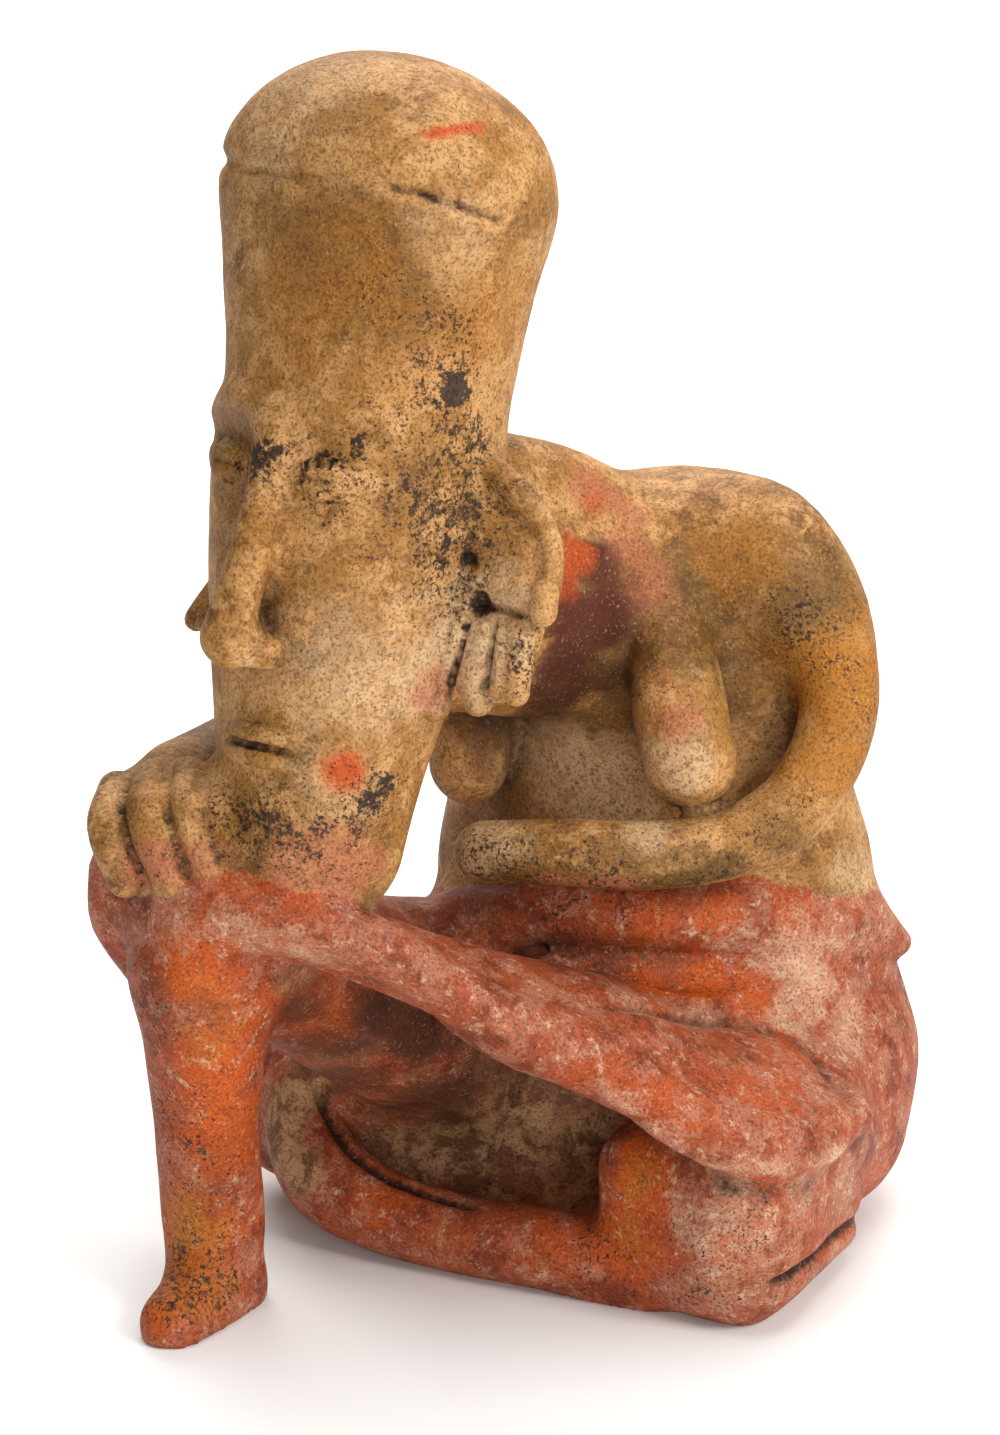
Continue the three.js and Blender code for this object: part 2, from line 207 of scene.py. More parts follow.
def faceForms():
    # a plain face on three equal thirds, the eyes one eye's width apart
    gap = head["eyeGap"]
    soft = [
        (coil([onFace(0, browLevel + 2, -1, 4), onFace(0, (browLevel + noseLevel) / 2, 6, 5.5),
               onFace(0, noseLevel + 8, 14, 7.5)]), 8),
    ]
    fine = []
    cuts = []
    for s in (-1, 1):
        soft += [
            (coil([onHead(s * 2, 48, noseLevel + 6, 6), onHead(s * 7.5, 42, noseLevel + 4, 4.5)]), 5),
            (coil([onFace(s * 3, browLevel, -1, 4), onFace(s * gap, browLevel + 5, -1, 3.6),
                   onFace(s * 33, browLevel - 2, -2, 3)]), 5),
        ]
        fine += [
            (coil([onFace(s * (gap - 8), eyeLevel, -2.2, 3.6), onFace(s * gap, eyeLevel, -1.6, 6),
                   onFace(s * (gap + 8), eyeLevel, -2.6, 3.6)]), 1.5),
            # upper and lower lid
            (coil([onFace(s * (gap - 9.5), eyeLevel - 0.5, 0.4, 1.3),
                   onFace(s * gap, eyeLevel + 4.4, 2.6, 2.2),
                   onFace(s * (gap + 10), eyeLevel, -0.4, 1.3)]), 1.2),
            (coil([onFace(s * (gap - 9), eyeLevel - 1.4, 0.3, 1.2), onFace(s * gap, eyeLevel - 5, 2, 1.8),
                   onFace(s * (gap + 9.5), eyeLevel - 1.2, -0.4, 1.2)]), 1.2),
        ]
        cuts += [
            # nostril
            (coil([onHead(s * 4.2, 47, noseLevel - 3, 1.7), onHead(s * 3.6, 48, noseLevel + 4, 1.4)]), 1),
        ]
    fine += [
        (coil([onFace(-12, mouthLevel + 2.6, -0.6, 1.8), onFace(-3.4, mouthLevel + 4.1, 1.2, 2.6),
               onFace(0, mouthLevel + 3.4, 1.2, 2.7), onFace(3.4, mouthLevel + 4.1, 1.2, 2.6),
               onFace(12, mouthLevel + 2.6, -0.6, 1.8)]), 1.2),
        (coil([onFace(-12, mouthLevel - 3.4, -0.6, 1.8), onFace(0, mouthLevel - 2.6, 1.2, 3.4),
               onFace(12, mouthLevel - 3.4, -0.6, 1.8)]), 1.2),
        (ball(headLoft.at(0, 25, 14), (12, 8, 10), head["turn"]), 6),
    ]
    return soft, fine, cuts


ear = {
    "shell": [(38, -6, 116, 9), (56, -8, 109, 5)],
    "bowl": [(38, -6, 108, 9), (57, -8, 101, 5.5)],
    "rim": [(40, -4, 128, 5.5), (54, -6, 122, 3.6), (63, -8, 112, 3.2), (65.6, -8.5, 102, 3),
            (65, -9, 97, 3)],
    "plate": [(44, -5, 90, 6), (60, -6, 88, 5), (59, -6, 74, 4.2)],
    "bar": [(45, -3, 97.5, 4.6), (65, -4, 95, 4.6)],
    "barEnd": [(67.6, -3, 97, 4.2), (67.6, -3, 91.6, 4.2)],
    "bobs": [
        {"top": (40.2, -0.4, 84, 3.3), "foot": (36.4, -0.4, 67, 3.4), "spread": 1.3},
        {"top": (48.6, -1.8, 84, 3.3), "foot": (46.6, -1.8, 67, 3.6), "spread": 1.4},
        {"top": (58.6, -3.2, 83.5, 3.5), "foot": (59, -3.2, 67.5, 3.7), "spread": 2.7},
    ],
    "knobs": [[(36.4, -0.6, 62, 4), (35.4, -0.6, 59, 4.4)], [(48.4, -2, 65, 3.8), (49.6, -2, 62.8, 4.1)]],
    "close": {"root": 38, "above": 0.35, "below": 0.85, "from": 85, "to": 67},
    # worked with a pointed stick, aside and up on the head: how wide, how deep, and the painted shade laid in
    # it
    "marks": [
        ([(44.7, 84), (43, 76), (40.9, 67)], 1.0, -1.9, 0.6),
        ([(53, 86), (52.8, 77), (52.2, 66)], 1.0, -2.1, 0.7),
        ([(42.8, 64), (42.4, 57)], 1, -1.6, 0.8), ([(50.6, 90), (57, 89.9), (64.5, 89.7)], 1.3, -2.4, 0.9),
        ([(47.3, 90.7)], 2.6, -5, 0.7), ([(43.5, 102.6)], 1.9, -3.5, 1),
    ],
}


def aside(s, u, w):
    # the right ear lies closer to the head
    if s > 0:
        return u
    close = ear["close"]
    down = min(1, max(0, (close["from"] - w) / (close["from"] - close["to"])))
    share = close["above"] + (close["below"] - close["above"]) * down
    return -(close["root"] + (u - close["root"]) * share)


def earForms():
    # a rim round a bowl, a bar with a thicker end, and flat bobs with knobs on a plate below the bar
    forms = []
    for s in (-1, 1):
        def worked(joints, off=0):
            return coil([onHead(aside(s, u + off, w), v, w, r) for u, v, w, r in joints])

        forms += [(worked(ear["shell"]), 6), (worked(ear["bowl"]), 6), (worked(ear["rim"]), 2.5),
                  (worked(ear["plate"]), 4), (worked(ear["bar"]), 1.2), (worked(ear["barEnd"]), 0.8)]
        for bob in ear["bobs"]:
            for off in (-bob["spread"], bob["spread"]):
                forms.append((worked([bob["top"], bob["foot"]], off), 0.9))
        forms += [(worked(knob), 0.8) for knob in ear["knobs"]]
    return forms


# The cap stands a little proud of the brow, over a drawn line that falls away and dies out before the ear.
cap = {"fall": 0.0035, "fallFrom": 10, "diesOut": 34, "fade": 4, "drawn": 1.8, "lineWide": 2.4, "proud": 0.9,
       "above": 2, "edge": 1.6, "reach": 12}


def rising(x):
    return np.exp(np.clip(x, -30, 30))


def capEdge(p):
    u, v, w = headLoft.local(p)
    line = head["faceHeight"] - cap["fall"] * np.maximum(0, u + cap["fallFrom"]) ** 2
    drawn = 1 / (1 + rising((u - cap["diesOut"]) / cap["fade"]) + rising(-v / cap["fade"]))
    groove = cap["drawn"] * np.exp(-((w - line) / cap["lineWide"]) ** 2)
    return drawn * (groove - cap["proud"] / (1 + rising((line + cap["above"] - w) / cap["edge"])))


body = {
    "chest": ((44.5, 34, 60), (-8, -14, 162), 18, [
        (0, 72, 50, 48), (30, 70, 50, 46), (50, 68, 42, 44), (75, 62, 34, 42), (100, 56, 27, 40),
        (130, 54, 25, 36), (162, 52, 26, 32)], (-30, 20, 112, 166), 2.1),
    "leftArm": [
        (52, 24, 205.5, 25), (71, 14, 207.5, 23), (86, 4, 194.5, 18), (94, -4, 179.5, 13.5),
        (95, -12, 166.5, 12), (89.5, -20, 152.5, 11.5), (77.5, -30, 140.5, 11), (59, -40, 135.5, 10.5),
        (35.5, -46, 135, 10.2), (12, -46, 136, 9.8), (-10, -38, 133, 9.2)],
    "rightArm": [
        (-3.5, 32, 200, 24), (-29.5, 34, 190, 18), (-55.5, 22, 170, 13.5), (-73.5, 4, 158, 11.5),
        (-87.5, -22, 158, 10.5), (-99.5, -48, 160, 11)],
    "breasts": [
        [(43, -4, 193, 13), (47, -21, 176, 14), (50.5, -30, 158, 14)],
        [(-12, 24, 173, 9), (-13, 16, 159.5, 12), (-15, 10, 142.5, 12)]],
    "fingers": [
        [(-116, -58, 160, 6), (-117.5, -73, 154, 6.4), (-112.5, -79, 141, 5.6)],
        [(-105, -60, 164, 6.2), (-105.5, -76, 158, 6.8), (-99.5, -81.5, 142, 6)],
        [(-95, -62, 166, 5.4), (-94, -77, 160.5, 5.8), (-88.5, -83, 145.5, 5.2)],
        [(-86.5, -64, 167, 4.6), (-85.5, -77, 162, 4.9), (-80.5, -82.5, 149, 4.6)]],
    "strap": ((-77.5, -76, 132), (107, 16, -48), 0, [
        (-8, 9, 14, 12), (10, 9, 15, 11), (50, 8.5, 20, 12), (85, 9, 24, 15), (118, 11, 28, 22)],
        (-12, 10, 100, 135), 2.4),
    "lap": ((-5.5, -60, 94), (100, 30, -45), 0, [
        (-5, 9, 30, 14), (25, 10.5, 32, 17), (55, 12.5, 42, 23), (85, 14, 44, 26), (110, 13, 34, 26)],
        (-20, 5, 80, 118), 2.4),
    "hem": [
        (-111.5, -60, 125, 8), (-100.5, -72, 130, 10), (-87, -84, 135, 10), (-62.5, -90, 133.5, 9),
        (-42, -92, 126, 8), (-22.5, -92, 113.5, 7.5), (0, -90, 98.5, 7), (23.5, -86, 85.5, 7),
        (46.5, -88, 69.5, 7.5), (72, -83, 57.5, 6.5), (99, -52, 54, 6)],
    "fold": [
        (4, -28, 96, 2), (22, -31, 94.5, 3.5), (40, -33, 92.5, 4.5), (56, -32, 90, 4.5), (70, -28, 90, 4),
        (84, -21, 91, 3.2), (97, -11, 90, 2)],
}


def bodyForms():
    # every form with the fillet that presses it on
    upper = [
        (Loft(*body["chest"]).reach, 0),
        (coil(body["leftArm"]), 8),
        # the back of the neck, then the throat
        (coil([onHead(0, -16, 96, 25), (12.5, 2, 207, 26), (30.5, 16, 201, 29), (43, 24, 197, 30)]), 14),
        (coil([onHead(4, -10, 70, 18), (8.5, 0, 186, 24), (34.5, 20, 176, 30)]), 16),
    ] + [(coil(b), 4) for b in body["breasts"]]
    lower = [
        # hips, seat and left hip
        (ball((34.5, 42, 42), (86, 52, 50), 18), 0),
        (block((16.5, 42, 20), (72, 44, 26), 26, 18), 12),
        (coil([(91.5, 32, 60, 28), (92.5, 18, 40, 31), (90.5, 4, 28, 30)]), 14),
        # roll at the waist, with its point at the side
        (coil([(-14.5, -6, 100, 8), (12.5, -15, 103, 10), (42.5, -20, 105.5, 11), (73.5, -12, 102.5, 10.5),
               (98.5, 4, 96, 9.5), (118, 21, 79.5, 4.5)]), 6),
        # left thigh and knee, right thigh
        (coil([(78.5, 18, 46, 38), (74.5, -14, 38, 36), (67, -42, 32, 31), (63.5, -64, 29, 26)]), 14),
        (block((62.5, -49, 27), (30, 36, 28), 14, 29), 14),
        (coil([(-90.5, -68, 110.5, 21), (-73.5, -52, 108, 23), (-50.5, -24, 84, 28), (-17.5, 12, 60, 36),
               (24.5, 38, 50, 42)]), 14),
        # roll below the belly fold, wall and floor of the hollow under the lap
        (coil([(8, -28, 90, 6), (36, -28, 86.5, 8), (56, -25, 82, 8.5), (74, -18, 79, 8),
               (92, -7, 76, 6)]), 5),
        (coil([(-66.5, 12, 28, 23.5), (-50, 18, 38, 28), (-10.5, 18, 42, 31), (29.5, 10, 38, 31)]), 10),
        (block((-3.5, -10, 4), (46, 30, 8), 7, 24), 24),
        # the skirt stretched from knee to knee
        (Loft(*body["strap"]).reach, 10),
        (Loft(*body["lap"]).reach, 12),
        # right foot and shin, heel
        (coil([(-103, -90, 4.5, 7), (-95.5, -78, 7.5, 10), (-91, -68, 15.5, 14), (-91, -64, 32, 15.5),
               (-92, -68, 60, 15.5), (-91.5, -72, 87.5, 18), (-91.5, -72, 109.5, 20)]), 10),
        (coil([(-100.5, -88, 4, 9), (-87, -64, 3.5, 12)]), 8),
        # hem, its end beside the right knee, folded left leg
        (coil(body["hem"]), 9),
        (coil([(-118.5, -56, 134.5, 7), (-118, -54, 118, 7), (-109.5, -52, 102.5, 7)]), 8),
        (coil([(39.5, -62, 7, 14), (12.5, -56, 11, 12.5), (-17.5, -44, 11, 12), (-39, -34, 13, 12.5),
               (-57.5, -22, 19, 14), (-66, -10, 29.5, 12), (-67.5, -2, 41, 9)]), 4),
    ]
    hand = [(ball((-107, -56, 149), (17, 18, 17.5), 30), 0)]
    hand += [(coil(joints), 1) for joints in body["fingers"]]
    return upper, lower, hand


def together(forms, p):
    found = forms[0][0](p)
    for form, fillet in forms[1:]:
        found = pressed(found, form(p), fillet)
    return found


upperForms, lowerForms, handForms = bodyForms()
softFace, fineFace, faceCuts = faceForms()
earParts = earForms()
nape = coil([onHead(0, -26, 122, 14), (8.5, 2, 229, 17), (21.5, 12, 212, 22)])
rightArm = coil(body["rightArm"])
bellyFold = coil(body["fold"])
fillets = {"fold": 3, "waist": 10, "rightArm": 8, "nape": 9, "head": 7, "hand": 5}


def figure(p):
    # how far each point lies outside the clay, in millimetres
    skirt = carved(together(lowerForms, p), bellyFold(p), fillets["fold"])
    found = pressed(together(upperForms, p), skirt, fillets["waist"])
    found = pressed(found, rightArm(p), fillets["rightArm"])
    skull = headLoft.reach(p)
    near = np.flatnonzero(skull < cap["reach"])
    skull[near] += capEdge(p[near])
    skull = pressed(skull, nape(p), fillets["nape"])
    for form, fillet in softFace + fineFace + earParts:
        skull = pressed(skull, form(p), fillet)
    for form, fillet in faceCuts:
        skull = carved(skull, form(p), fillet)
    found = pressed(found, skull, fillets["head"])
    found = pressed(found, together(handForms, p), fillets["hand"])
    return np.maximum(found, -p[:, 2])


# What is worked into the skin with a tool: lines through the clay, their width, how far they stand out, and
# the painted shade laid in them for the shadow in the groove. First the drawn line of the cap.
toolMarks = [
    {"line": [(-34, -76, 342), (-27, -76, 340.5), (-19, -76, 338), (-10, -73, 334), (-4, -69, 331)],
     "wide": 1.3, "out": -1.9, "paintedShade": 0.55},
    {"line": [(-84, -36, 334), (-72, -50, 341), (-52, -69, 344), (-34, -76, 342)],
     "wide": 1.3, "out": -1, "paintedShade": 0.25},
    # belly fold, the crease between the lap and the hip, two soft pleats, small slit
    {"line": [(20, -28, 94), (37, -29, 92.5), (53, -28, 90), (67, -24, 90), (81, -18, 91), (95, -9, 90)],
     "wide": 2.4, "out": -0.4, "paintedShade": 0.15},
    {"line": [(24, -71, 98), (42, -56, 90), (63, -38, 78), (81, -34, 72), (91, -42, 65), (98, -57, 60)],
     "wide": 3.5, "out": -1.6, "paintedShade": 0.12},
    {"line": [(70, -24, 84), (88, -24, 76), (100, -32, 66)], "wide": 3, "out": -1.1, "paintedShade": 0.1},
    {"line": [(84, -16, 86), (100, -12, 78), (108, -18, 66)], "wide": 3.5, "out": 1, "paintedShade": 0},
    {"line": [(96, -12, 88), (108, -2, 80), (112, 6, 70)], "wide": 3, "out": -0.9, "paintedShade": 0.1},
    {"line": [(103, -7, 85), (109, -1, 81)], "wide": 0.9, "out": -1.8, "paintedShade": 0.9},
    # the lip of the lap over the knee, and the hollow below it
    {"line": [(23, -93, 83), (35, -94, 72), (52, -91, 59), (73, -89, 55), (92, -71, 51), (101, -54, 58)],
     "wide": 3.2, "out": 1.5, "paintedShade": 0},
    {"line": [(30, -90, 68), (50, -90, 50), (72, -89, 46), (92, -72, 43), (103, -52, 48)],
     "wide": 4, "out": -1.2, "paintedShade": 0},
    # the low slit beside the knee and its lip
    {"line": [(75, -91, 17.5), (84, -82, 19), (93, -64, 18), (100, -46, 15), (107, -30, 13)],
     "wide": 1.6, "out": -3.2, "paintedShade": 0.75},
    {"line": [(74, -93, 12), (92, -66, 12), (102, -42, 9)], "wide": 4, "out": 1.2, "paintedShade": 0},
    # pinholes, the slit along the folded leg, the ridge of the knee
    {"line": [(-9, -98, 98), (-4, -97, 97)], "wide": 1.5, "out": -1.6, "paintedShade": 1},
    {"line": [(4, -8, 17), (4, -8, 18)], "wide": 1.2, "out": -3, "paintedShade": 1},
    {"line": [(-61, -10, 43), (-57, -17, 36), (-51, -27, 31), (-42, -34, 27), (-30, -40, 24), (-15, -48, 23)],
     "wide": 2.2, "out": -2.6, "paintedShade": 0.9},
    {"line": [(50, -93, 52), (55, -94, 36), (55, -94, 20)], "wide": 5, "out": 0.9, "paintedShade": 0},
]
# between the fingers
for one, other in zip(body["fingers"][:-1], body["fingers"][1:]):
    middle = [[(a + b) / 2 for a, b in zip(i[:3], j[:3])] for i, j in zip(one, other)]
    groove = [(x - 1, y - 3, z + 1) for x, y, z in middle]
    toolMarks.append({"line": groove, "wide": 1.6, "out": -1.2, "paintedShade": 0.9})


def markOnHead(places, wide, out, paintedShade):
    # a mark at places given aside and up on the head, laid on its skin, which is looked for from the front
    ahead = np.arange(75, -14, -0.25)[:, None]
    line = []
    for u, w in places:
        p = headLoft.at(u, ahead, w)
        line.append(p[np.argmax(figure(p) < 0)])
    return {"line": line if len(line) > 1 else line[0], "wide": wide, "out": out, "paintedShade": paintedShade}


for s in (-1, 1):
    gap = head["eyeGap"]
    toolMarks += [
        markOnHead([(s * (gap - 7.5), eyeLevel - 0.6), (s * gap, eyeLevel - 0.3),
                    (s * (gap + 7.5), eyeLevel - 0.6)], 1.1, -1.5, 0.9),
        markOnHead([(s * (gap - 8), eyeLevel + 5.5), (s * gap, eyeLevel + 8), (s * (gap + 9), eyeLevel + 5)],
                   1.3, -0.8, 0.3),
    ]
    for places, wide, out, paintedShade in ear["marks"]:
        toolMarks.append(markOnHead([(aside(s, u, w), w) for u, w in places], wide, out, paintedShade))
toolMarks.append(markOnHead([(-12, mouthLevel), (0, mouthLevel + 0.6), (12, mouthLevel)], 1.1, -1.4, 0.8))

# Where the colour changes: name of the layer, places with their radii, and how strong it is.
colourDabs = {
    "soot": [
        ((-18, -73, 284), 8, 1), ((-71, -78, 267), 6.5, 0.8), ((-52, -83, 267), 5, 0.75),
        ((-44, -83, 271), 5.5, 0.8), ((-20, -75, 276), 5, 0.5), ((-43, -88, 168), 5, 0.8),
        ((-38, -85, 172), 5, 0.8), ((-50, -91, 164), 5, 0.6), ((-6, -80, 205), 5, 0.5),
        ((87, -14, 196), 7, 0.4), ((-15, -72, 268), 6, 0.6), ((-20, -77, 240), 7, 0.6),
        ((1, -92, 212), 5, 0.5), ((-24, -80, 262), 5, 0.55), ((-12, -76, 252), 5, 0.5),
    ],
    "freckle": [
        ((-20, -75, 295), 15, 0.8), ((-17, -72, 267), 18, 1), ((-19, -77, 250), 17, 1),
        ((-20, -78, 236), 14, 0.9), ((-28, -83, 255), 14, 0.8), ((-22, -80, 222), 12, 0.7),
        ((-71, -78, 262), 12, 0.8), ((-50, -84, 262), 14, 0.7), ((-76, -89, 162), 13, 1),
        ((-62, -92, 158), 14, 0.8), ((-43, -88, 168), 13, 0.9), ((-53, -92, 150), 12, 0.6),
        ((-6, -50, 132), 14, 0.8), ((24, -56, 128), 16, 0.8), ((53, -50, 126), 16, 0.9),
        ((70, -45, 136), 12, 0.6), ((87, -14, 196), 15, 0.8), ((94, -15, 185), 12, 0.6),
        ((80, -37, 146), 10, 0.5), ((36, -26, 112), 12, 0.5), ((13, -24, 108), 12, 0.6),
        ((111, 4, 88), 12, 0.5), ((112, -4, 64), 12, 0.5), ((-106, -86, 100), 14, 0.7),
        ((-103, -84, 60), 16, 0.8), ((-99, -89, 18), 18, 0.9), ((-92, -88, 40), 14, 0.5),
        ((60, -92, 30), 18, 0.5), ((52, -88, 12), 14, 0.6), ((24, -73, 14), 14, 0.6),
        ((24, -56, 99), 14, 0.5), ((0, -10, 30), 26, 0.4), ((-105, -76, 150), 10, 0.5),
        ((-5, -30, 170), 12, 0.4), ((0, -91, 212), 9, 1), ((-38, -87, 243), 12, 0.5),
        ((-32, -80, 276), 14, 0.6), ((-36, -77, 312), 16, 0.5), ((102, -18, 170), 12, 0.5),
    ],
    "ochre": [
        ((97, -14, 178), 20, 1), ((92, -26, 158), 15, 0.9), ((97, 8, 168), 18, 0.7),
        ((-44, -75, 318), 20, 0.6), ((-8, -68, 300), 18, 0.6), ((-2, -57, 306), 12, 0.5),
        ((-8, -50, 350), 16, 0.3), ((-96, -86, 14), 15, 0.6), ((-98, -80, 30), 12, 0.8),
        ((-62, -70, 305), 20, 0.6), ((-30, -76, 300), 20, 0.5), ((34, -76, 44), 8, 0.5),
        ((33, -75, 26), 7, 0.5), ((-89, -92, 95), 9, 0.5), ((-20, -56, 16), 9, 0.3),
        ((60, 10, 205), 20, 0.4), ((-70, -84, 245), 14, 0.4), ((60, -60, 76), 9, 0.35),
        ((-12, -82, 100), 8, 0.3), ((65, -4, 214), 16, 0.6), ((-90, -90, 104), 14, 0.45),
        ((-95, -84, 44), 9, 0.4),
    ],
    # olive patches of the clay; along the lower side of the forearm and at the neck under the head, painted
    # shade
    "olive": [
        ((-33, -77, 311), 16, 0.8), ((-50, -73, 326), 15, 0.7), ((65, -8, 213), 18, 0.3),
        ((85, -6, 203), 20, 0.7), ((54, -9, 200), 22, 0.8), ((36, -17, 200), 16, 0.5),
        ((70, 30, 190), 34, 0.7), ((15, -4, 160), 18, 0.8), ((-5, 10, 165), 18, 0.8),
        ((30, -10, 170), 14, 0.7), ((-60, -66, 322), 14, 0.5), ((-82, -60, 268), 14, 0.5),
        ((-90, -30, 160), 22, 0.7), ((-110, -60, 158), 14, 0.4), ((10, 0, 222), 16, 0.5),
        ((6, -20, 167), 10, 0.8),
        ([(-8, -47, 131), (18, -55, 128), (41, -55, 128), (62, -50, 133)], 6, 1),
        ((-12, -44, 136), 7, 0.6), ((-118, -66, 150), 8, 0.6), ((78, -40, 138), 9, 0.6),
        ((53, -20, 193), 13, 0.9), ((36, -19, 193), 12, 0.8), ((24, -20, 182), 12, 0.9),
        ((60, -8, 201), 12, 0.6), ((-38, -76, 325), 11, 0.9),
        ([(24, -56, 139), (38, -56, 137), (53, -53, 138)], 5, 0.55), ((102, -18, 174), 13, 0.5),
    ],
    # the dark red wash on the neck, darkened for the shadow under the head: partly painted shade
    "washAndShade": [
        ((22, -21, 213), 13, 1), ((15, -29, 205), 12, 1), ((24, -24, 200), 13, 1),
        ((13, -29, 189), 12, 1), ((14, -26, 181), 11, 0.9), ((8, -27, 175), 9, 0.7),
        ((30, -19, 190), 8, 0.5), ((-3, -42, 358), 6, 0.4),
    ],
    "redPaint": [
        ((-49, -91, 179), 7, 1), ([(-26, -68, 355), (-18, -65, 356), (-9, -60, 356)], 1.5, 1),
        ((22, -11, 231), 5, 0.6), ((16, -24, 219), 7, 0.8), ((14, -29, 212), 6, 0.6),
    ],
    "blush": [
        ((-51, -92, 154), 9, 0.8), ((-61, -94, 152), 9, 0.7), ((-56, -93, 143), 11, 1),
        ((-66, -93, 146), 9, 0.9), ((-45, -88, 147), 9, 1), ((-9, -83, 207), 6, 0.5),
        ((-14, -82, 206), 7, 0.4), ((-24, -80, 200), 8, 0.8), ((45, -39, 175), 8, 0.7),
        ((41, -36, 184), 6, 0.6), ((-14, 8, 150), 9, 0.6), ((22, -8, 235), 9, 1), ((32, -5, 229), 9, 0.8),
        ((31, -13, 219), 11, 0.8), ((37, -13, 208), 10, 0.7), ((44, -14, 196), 9, 0.4),
        ([(10, -54, 129), (33, -56, 129)], 5, 0.7), ((-105, -84, 146), 8, 0.9), ((-93, -88, 148), 8, 0.8),
        ((-84, -86, 150), 7, 0.6), ((-40, -85, 185), 7, 0.4), ((-5, -20, 150), 10, 0.4),
    ],
    # pale worn patches; on the front of the left knee and on the cheek they are painted light
    "pale": [
        ((11, 2, 150), 16, 1), ((25, -4, 140), 17, 1), ((8, 0, 138), 12, 0.8), ((38, -50, 143), 8, 0.6),
        ((47, -41, 162), 10, 0.7), ((-10, -84, 222), 14, 0.7), ((-5, -86, 228), 9, 0.7),
        ((-42, -86, 206), 24, 0.55), ((86, -20, 92), 15, 1), ((66, -24, 101), 10, 0.6),
        ((-50, -88, 176), 14, 0.4), ((66, -93, 26), 9, 0.4), ((88, -24, 78), 14, 0.9),
        ((100, -22, 70), 13, 0.8), ((-63, -33, 24), 8, 0.7), ((35, -60, 94), 7, 0.7),
        ((55, -44, 84), 8, 0.8), ((-10, -48, 140), 12, 0.6), ((-62, -90, 130), 12, 0.7),
        ((-78, -92, 132), 12, 0.6), ((-45, -82, 128), 10, 0.5), ((62, -88, 48), 10, 0.7),
        ((80, -82, 42), 9, 0.7), ((98, -56, 34), 10, 0.6), ((-68, -50, 346), 12, 0.5),
        ((-61, -41, 362), 20, 0.4), ((-20, -70, 330), 14, 0.4), ((-98, -88, 128), 9, 0.6),
        ((67, -93, 34), 16, 0.55), ((58, -90, 14), 14, 0.5), ((90, -74, 46), 9, 0.6),
        ((70, -93, 52), 9, 0.5), ((112, 10, 94), 11, 0.6), ((104, -8, 95), 9, 0.5),
        ((96, -56, 20), 10, 0.5), ((0, -92, 107), 8, 0.4), ((90, -60, 62), 10, 0.5),
        ((100, 0, 108), 12, 0.6), ((-14, -83, 211), 13, 1), ((-24, -82, 205), 12, 0.9),
        ((-8, -88, 216), 10, 0.9), ((53, -89, 38), 12, 0.7),
    ],
    "bright": [
        ((40, -34, 90), 9, 1), ((56, -30, 88), 9, 1), ((70, -26, 85), 8, 0.8), ((40, -30, 108), 8, 0.8),
        ((60, -28, 110), 9, 0.7), ((84, -18, 104), 9, 0.6), ((-91, -91, 118), 14, 0.9),
        ((-89, -90, 89), 14, 0.9), ((-87, -84, 62), 14, 1), ((-78, -86, 100), 10, 0.7),
        ((36, -77, 44), 12, 1), ((33, -75, 24), 12, 1), ((-42, -44, 20), 10, 0.6),
        ((-55, -60, 85), 11, 1), ((-104, -88, 14), 13, 0.9), ((-97, -78, 28), 13, 0.9),
        ((-95, -90, 30), 14, 0.8), ((-50, -50, 95), 14, 0.4),
    ],
    # painted shade: the hollow under the lap, the neck under the head, below the belly roll and the forearm
    "deepShade": [
        ((-41, -52, 85), 15, 1), ((-29, -42, 74), 14, 1), ((-50, -39, 60), 14, 0.7),
        ((-15, -27, 54), 12, 0.7), ((-56, -57, 81), 12, 0.8), ((-64, -68, 96), 9, 0.8),
        ((4, -14, 176), 12, 0.7), ((-6, 0, 165), 16, 0.7), ((62, -10, 172), 12, 0.5),
        ((-10, -10, 112), 14, 0.6), ((-2, 14, 120), 14, 0.5), ((-30, 0, 118), 14, 0.6),
        ((24, -33, 94), 6, 0.5), ((10, -36, 96), 8, 0.6), ((-24, -26, 47), 18, 0.85),
        ((-4, -16, 54), 13, 0.5), ((-84, -81, 56), 11, 0.3), ((14, -26, 181), 9, 0.5),
        ((8, -27, 175), 9, 0.7), ((-14, -16, 36), 12, 0.4), ((24, -20, 182), 10, 0.6),
        ((30, -18, 189), 9, 0.4),
    ],
    # the hollow under the lap: a brown, lighter low and to the right where light reaches it: painted light
    "tan": [
        ((-70, -14, 41), 10, 1), ((-73, -21, 32), 10, 1), ((-66, -30, 27), 8, 1), ((-60, -5, 50), 10, 1),
        ((0, -12, 36), 22, 1), ((15, -16, 56), 18, 0.9), ((-14, -16, 26), 18, 1), ((20, -22, 30), 14, 1),
        ((-10, -30, 14), 16, 1), ((12, -34, 12), 16, 1), ((-34, -16, 22), 14, 0.9),
        ((-28, -26, 44), 18, 0.4), ((-66, -73, 112), 9, 0.6), ((-52, -48, 74), 14, 0.4),
        ((-8, -22, 56), 16, 0.6),
    ],
}


def fromLine(p, line):
    line = np.array(line, float)
    if line.ndim == 1:
        return np.linalg.norm(p - line, axis=1)
    best = np.full(len(p), 1e9)
    for a, b in zip(line[:-1], line[1:]):
        e = b - a
        t = np.clip((p - a) @ e / (e @ e), 0, 1)
        best = np.minimum(best, np.linalg.norm(p - a - t[:, None] * e, axis=1))
    return best


